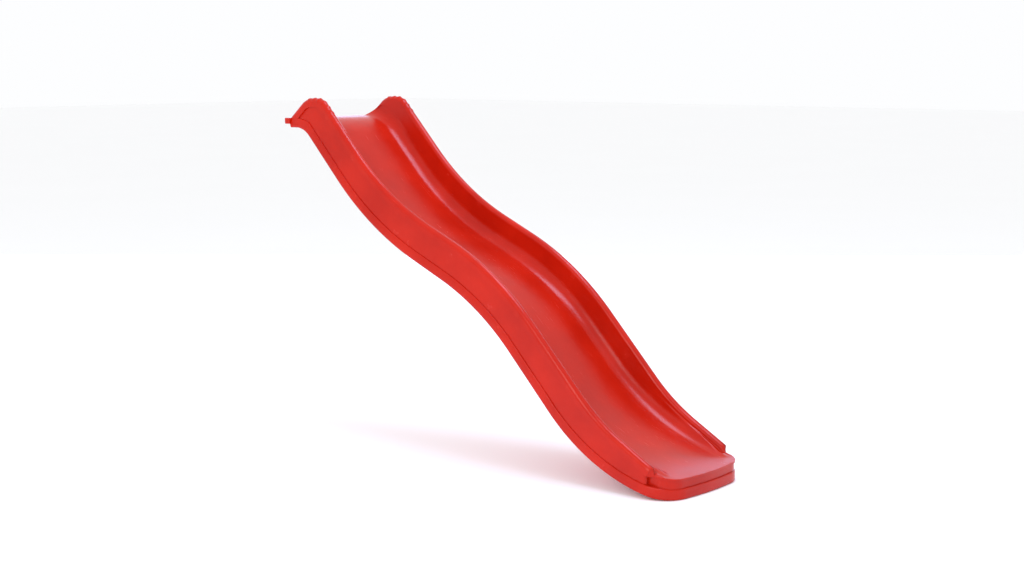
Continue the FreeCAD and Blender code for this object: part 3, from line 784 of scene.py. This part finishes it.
def mottle_group():
    """Soft cloudy mask, fine scratch mask and orange-peel height on object coordinates."""
    group = bpy.data.node_groups.get("moulded_surface")
    if group:
        return group
    group = bpy.data.node_groups.new("moulded_surface", "ShaderNodeTree")
    face = group.interface
    for name, value in (("Cloud Scale", 6.0), ("Grain Scale", 420.0), ("Scratch Amount", 0.35)):
        socket = face.new_socket(name, in_out="INPUT", socket_type="NodeSocketFloat")
        socket.default_value = value
    for name in ("Clouds", "Scratches", "Height"):
        face.new_socket(name, in_out="OUTPUT", socket_type="NodeSocketFloat")
    nodes, links = group.nodes, group.links
    come = nodes.new("NodeGroupInput")
    go = nodes.new("NodeGroupOutput")
    where = nodes.new("ShaderNodeTexCoord")
    clouds = add_node(group, "ShaderNodeTexNoise", Detail=5.0, Roughness=0.6)
    links.new(where.outputs["Object"], clouds.inputs["Vector"])
    links.new(come.outputs["Cloud Scale"], clouds.inputs["Scale"])
    spread = add_node(group, "ShaderNodeMapRange")
    spread.inputs["From Min"].default_value = 0.35
    spread.inputs["From Max"].default_value = 0.68
    links.new(clouds.outputs["Fac"], spread.inputs["Value"])
    links.new(spread.outputs["Result"], go.inputs["Clouds"])
    stretch = nodes.new("ShaderNodeMapping")
    stretch.inputs["Scale"].default_value = (9.0, 160.0, 9.0)
    stretch.inputs["Rotation"].default_value = (0, 0, math.radians(7))
    links.new(where.outputs["Object"], stretch.inputs["Vector"])
    scratches = add_node(group, "ShaderNodeTexNoise", Scale=1.6, Detail=3.0, Roughness=0.55)
    links.new(stretch.outputs["Vector"], scratches.inputs["Vector"])
    thin = nodes.new("ShaderNodeMapRange")
    thin.inputs["From Min"].default_value = 0.60
    thin.inputs["From Max"].default_value = 0.78
    links.new(scratches.outputs["Fac"], thin.inputs["Value"])
    worn = nodes.new("ShaderNodeMath")
    worn.operation = "MULTIPLY"
    links.new(thin.outputs["Result"], worn.inputs[0])
    links.new(come.outputs["Scratch Amount"], worn.inputs[1])
    links.new(worn.outputs["Value"], go.inputs["Scratches"])
    peel = add_node(group, "ShaderNodeTexNoise", Detail=2.0, Roughness=0.5)
    links.new(where.outputs["Object"], peel.inputs["Vector"])
    links.new(come.outputs["Grain Scale"], peel.inputs["Scale"])
    swell = add_node(group, "ShaderNodeTexNoise", Scale=11.0, Detail=2.0, Roughness=0.5)
    links.new(where.outputs["Object"], swell.inputs["Vector"])
    total = nodes.new("ShaderNodeMath")
    total.operation = "MULTIPLY_ADD"
    total.inputs[1].default_value = 7.0
    links.new(swell.outputs["Fac"], total.inputs[0])
    links.new(peel.outputs["Fac"], total.inputs[2])
    links.new(total.outputs["Value"], go.inputs["Height"])
    return group


def mixed(tree, mask, low, high):
    """Mixes a colour, or another node's colour, towards a second one by a mask."""
    node = tree.nodes.new("ShaderNodeMix")
    node.data_type = "RGBA"
    node.inputs["B"].default_value = (*high, 1)
    if isinstance(low, bpy.types.NodeSocket):
        tree.links.new(low, node.inputs["A"])
    else:
        node.inputs["A"].default_value = (*low, 1)
    tree.links.new(mask, node.inputs["Factor"])
    return node.outputs[2]


def ranged(tree, source, low, high):
    """Spreads a mask between two values."""
    node = tree.nodes.new("ShaderNodeMapRange")
    node.inputs["To Min"].default_value = low
    node.inputs["To Max"].default_value = high
    tree.links.new(source, node.inputs["Value"])
    return node.outputs["Result"]


def material(name, cloud_scale, grain_scale, scratch, height):
    """A principled finish with the moulded-surface masks ready to use."""
    finish = bpy.data.materials.new(name)
    finish.use_nodes = True
    tree = finish.node_tree
    shader = tree.nodes["Principled BSDF"]
    surface = tree.nodes.new("ShaderNodeGroup")
    surface.node_tree = mottle_group()
    surface.inputs["Cloud Scale"].default_value = cloud_scale
    surface.inputs["Grain Scale"].default_value = grain_scale
    surface.inputs["Scratch Amount"].default_value = scratch
    bump = tree.nodes.new("ShaderNodeBump")
    bump.inputs["Strength"].default_value = 0.35
    bump.inputs["Distance"].default_value = height
    tree.links.new(surface.outputs["Height"], bump.inputs["Height"])
    tree.links.new(bump.outputs["Normal"], shader.inputs["Normal"])
    return finish, tree, shader, surface


def red_colour(tree, shader, surface):
    """The mottled red with its scuffs."""
    colours = bpy.context.scene.wave_slide_colours
    base = mixed(tree, surface.outputs["Clouds"], colours.shell_deep, colours.shell)
    scuffed = mixed(tree, surface.outputs["Scratches"], base, colours.scuff)
    tree.links.new(scuffed, shader.inputs["Base Color"])


def shell_material():
    """Glossy moulded plastic with faint mottling and fine sliding scratches."""
    if bpy.data.materials.get("red_moulded_plastic"):
        return bpy.data.materials["red_moulded_plastic"]
    finish, tree, shader, surface = material("red_moulded_plastic", 5.0, 380.0, 0.3, 0.0005)
    red_colour(tree, shader, surface)
    rough = ranged(tree, surface.outputs["Clouds"], 0.20, 0.27)
    more = tree.nodes.new("ShaderNodeMath")
    more.operation = "MULTIPLY_ADD"
    more.inputs[1].default_value = 0.22
    tree.links.new(surface.outputs["Scratches"], more.inputs[0])
    tree.links.new(rough, more.inputs[2])
    tree.links.new(more.outputs["Value"], shader.inputs["Roughness"])
    shader.inputs["Specular IOR Level"].default_value = 0.22
    return finish


def cap_material():
    """The screw caps: the same plastic, a little duller."""
    finish, tree, shader, surface = material("red_cap_plastic", 30.0, 500.0, 0.6, 0.0004)
    red_colour(tree, shader, surface)
    tree.links.new(ranged(tree, surface.outputs["Clouds"], 0.30, 0.40), shader.inputs["Roughness"])
    return finish


def zinc_material(name, scale):
    """Zinc-plated steel, cloudy and finely scratched."""
    colours = bpy.context.scene.wave_slide_colours
    finish, tree, shader, surface = material(name, scale, 900.0, 0.8, 0.0002)
    dull = tuple(c * 0.72 for c in colours.zinc)
    base = mixed(tree, surface.outputs["Clouds"], dull, colours.zinc)
    scuffed = mixed(tree, surface.outputs["Scratches"], base, (0.78, 0.78, 0.76))
    tree.links.new(scuffed, shader.inputs["Base Color"])
    tree.links.new(ranged(tree, surface.outputs["Clouds"], 0.26, 0.42), shader.inputs["Roughness"])
    shader.inputs["Metallic"].default_value = 1.0
    return finish


class WAVESLIDE_OT_fasteners(bpy.types.Operator):
    """Finishes the screws, washers, screw caps and deck sleeves"""

    bl_idname = "wave_slide.fasteners"
    bl_label = "Screws, caps and sleeves"

    def execute(self, context):
        plated = zinc_material("zinc_plate", 90.0)
        turned_steel = zinc_material("sleeve_steel", 60.0)
        finishes = {
            "screw_caps": cap_material(),
            "seam_screws": plated,
            "screw_washers": plated,
            "left_deck_sleeve": turned_steel,
            "right_deck_sleeve": turned_steel,
        }
        for name, finish in finishes.items():
            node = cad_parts[name]
            for slot in node.material_slots:
                slot.material = finish
            if not node.material_slots:
                raise RuntimeError(f"{name} has no material slot")
        return {"FINISHED"}


# --- stage ---------------------------------------------------------------------------------
def area_light(name, place, aim, size, power, colour):
    """A soft panel, seen in the slide but not by the camera."""
    data = bpy.data.lights.new(name, "AREA")
    data.shape = "RECTANGLE"
    data.size, data.size_y = size
    data.energy = power
    data.color = colour
    light = bpy.data.objects.new(name, data)
    light.location = place
    light.rotation_euler = (Vector(aim) - Vector(place)).to_track_quat("-Z", "Y").to_euler()
    light.visible_camera = False
    bpy.context.scene.collection.objects.link(light)


class WAVESLIDE_OT_stage(bpy.types.Operator):
    """Lays the pale floor and sets the soft lights and the camera"""

    bl_idname = "wave_slide.stage"
    bl_label = "Stage"

    def execute(self, context):
        scene = context.scene
        colours = scene.wave_slide_colours
        bm = bmesh.new()
        bmesh.ops.create_grid(bm, x_segments=2, y_segments=2, size=40)
        floor = new_piece("studio_floor", bm)
        finish = bpy.data.materials.new("studio_floor")
        finish.use_nodes = True
        tree = finish.node_tree
        shader = tree.nodes["Principled BSDF"]
        where = tree.nodes.new("ShaderNodeTexCoord")
        clouds = add_node(tree, "ShaderNodeTexNoise", Scale=0.7, Detail=2.0)
        tree.links.new(where.outputs["Object"], clouds.inputs["Vector"])
        darker = tuple(c * 0.985 for c in colours.floor)
        toned = mixed(tree, clouds.outputs["Fac"], darker, colours.floor)
        tree.links.new(toned, shader.inputs["Base Color"])
        shader.inputs["Roughness"].default_value = 0.8
        shader.inputs["Specular IOR Level"].default_value = 0.15
        floor.data.materials.append(finish)

        world = bpy.data.worlds.new("studio")
        scene.world = world
        world.use_nodes = True
        sky = world.node_tree.nodes["Background"]
        sky.inputs["Color"].default_value = (0.985, 0.99, 1.0, 1)
        sky.inputs["Strength"].default_value = 1.0
        area_light("key", (1.6, -5.0, 2.8), (0, 0, 0.6), (2.0, 2.0), 60, (1.0, 0.98, 0.95))
        area_light("overhead", (0.9, 0.3, 4.6), (0.2, 0, 0.7), (2.8, 1.1), 110, (0.60, 0.74, 1.0))
        area_light("far_panel", (-3.9, 4.6, 1.5), (0, 0, 0.8), (9.0, 3.4), 150, (0.40, 0.60, 1.0))
        area_light("strip", (0.6, -5.5, 1.3), (0.3, 0, 0.6), (0.5, 2.4), 40, (1.0, 1.0, 1.0))
        scene.view_settings.view_transform = "Standard"
        scene.view_settings.look = "None"

        camera = bpy.data.objects.new("camera", bpy.data.cameras.new("camera"))
        scene.collection.objects.link(camera)
        place = Vector((3.9645, -4.5777, 1.4504))
        aim = Vector((0.0387, 0.0, 0.6154))
        camera.location = place
        camera.rotation_euler = (aim - place).to_track_quat("-Z", "Y").to_euler()
        camera.data.sensor_width = 36
        camera.data.lens = 58.18
        camera.data.clip_end = 200
        scene.camera = camera
        return {"FINISHED"}


class WAVESLIDE_PT_panel(bpy.types.Panel):
    """Lists what the add-on builds"""

    bl_label = "Wave slide"
    bl_idname = "WAVESLIDE_PT_panel"
    bl_space_type = "VIEW_3D"
    bl_region_type = "UI"
    bl_category = "Wave slide"

    def draw(self, context):
        scene = context.scene
        for group in (scene.wave_slide_sizes, scene.wave_slide_colours):
            box = self.layout.box()
            for name in group.bl_rna.properties.keys():
                if name not in ("rna_type", "name"):
                    box.prop(group, name)
        for operator in OPERATORS:
            self.layout.operator(operator.bl_idname)


OPERATORS = (WAVESLIDE_OT_chute, WAVESLIDE_OT_underbody, WAVESLIDE_OT_fasteners, WAVESLIDE_OT_stage)
CLASSES = (WaveSlideSizes, WaveSlideColours, *OPERATORS, WAVESLIDE_PT_panel)


def register():
    for item in CLASSES:
        bpy.utils.register_class(item)
    bpy.types.Scene.wave_slide_sizes = PointerProperty(type=WaveSlideSizes)
    bpy.types.Scene.wave_slide_colours = PointerProperty(type=WaveSlideColours)


def unregister():
    del bpy.types.Scene.wave_slide_colours
    del bpy.types.Scene.wave_slide_sizes
    for item in reversed(CLASSES):
        bpy.utils.unregister_class(item)


def main():
    register()
    bpy.ops.wave_slide.chute()
    bpy.ops.wave_slide.underbody()
    bpy.ops.wave_slide.fasteners()
    bpy.ops.wave_slide.stage()


if __name__ == "__main__":
    main()
